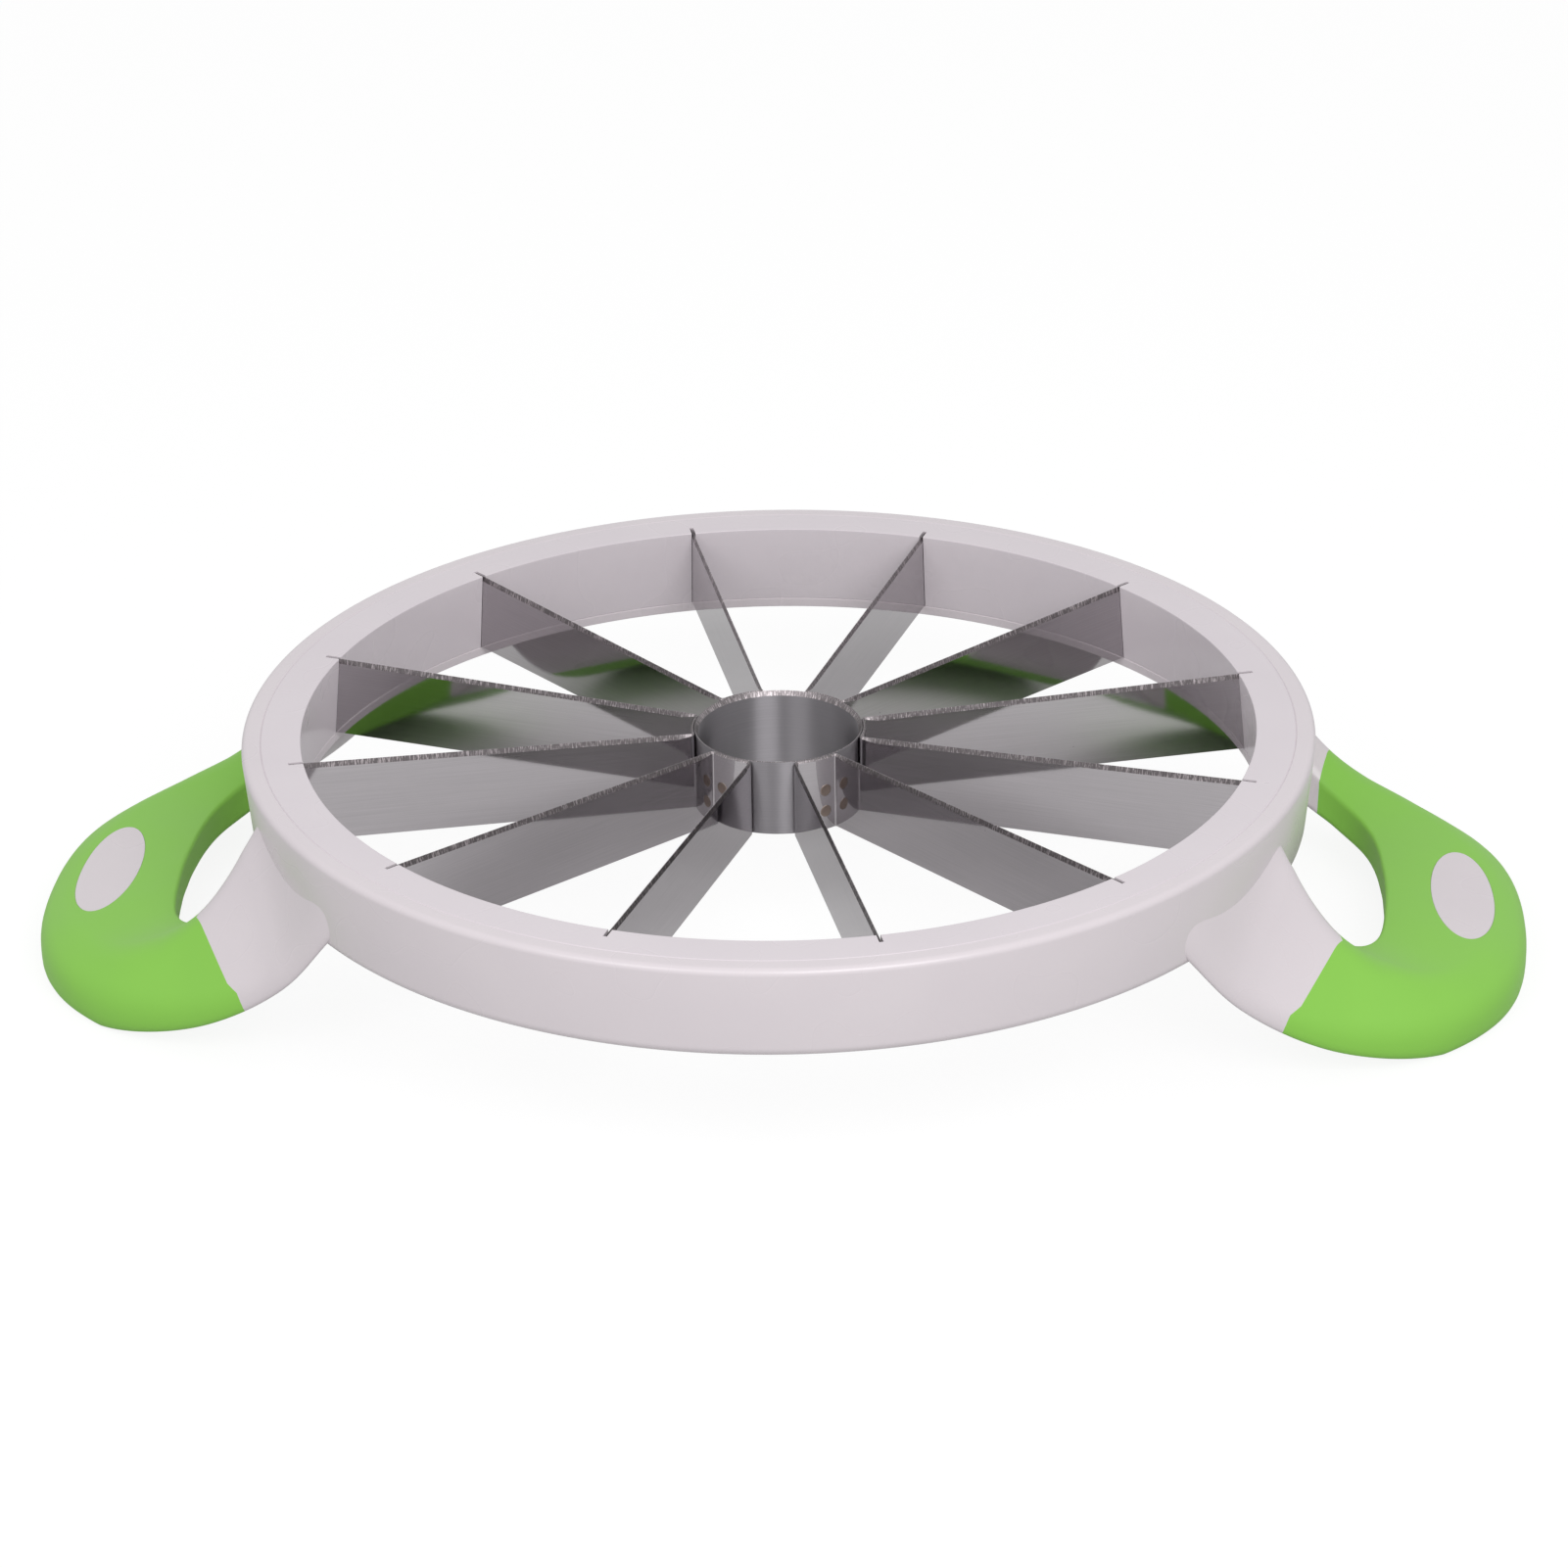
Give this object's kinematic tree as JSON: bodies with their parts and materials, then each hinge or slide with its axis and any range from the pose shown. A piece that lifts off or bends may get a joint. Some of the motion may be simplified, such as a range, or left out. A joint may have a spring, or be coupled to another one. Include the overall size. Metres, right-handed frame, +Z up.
{
  "type": "watermelon slicer",
  "caption": "Round fruit slicer: steel blades radiate from a hub to a plastic ring with two loop handles.",
  "frame": {"origin": "centre of the ring, on the surface that the handle bars stand on", "axes": "+X through the middle of the right handle, +Z up, the way the cutting edges point as it is laid down"},
  "size_m": [0.394, 0.28, 0.065],
  "materials": {
    "frame_plastic": "satin moulded ABS, off-white",
    "ring_plastic": "glossy moulded ABS, off-white",
    "blade_steel": "rolled stainless strip with fine lengthwise grain",
    "weld_steel": "heat-tinted weld nugget",
    "grip_rubber": "matte soft-touch overmould, lime green"
  },
  "bodies": {
    "root": {"outer_frame": "frame_plastic", "blade_ring": "ring_plastic", "hub_ring": "blade_steel", "blade_pair_1": "blade_steel", "blade_pair_2": "blade_steel", "blade_pair_3": "blade_steel", "blade_pair_4": "blade_steel", "blade_pair_5": "blade_steel", "blade_pair_6": "blade_steel", "spot_welds": "weld_steel", "left_grip": "grip_rubber", "right_grip": "grip_rubber"}
  },
  "joints": []
}
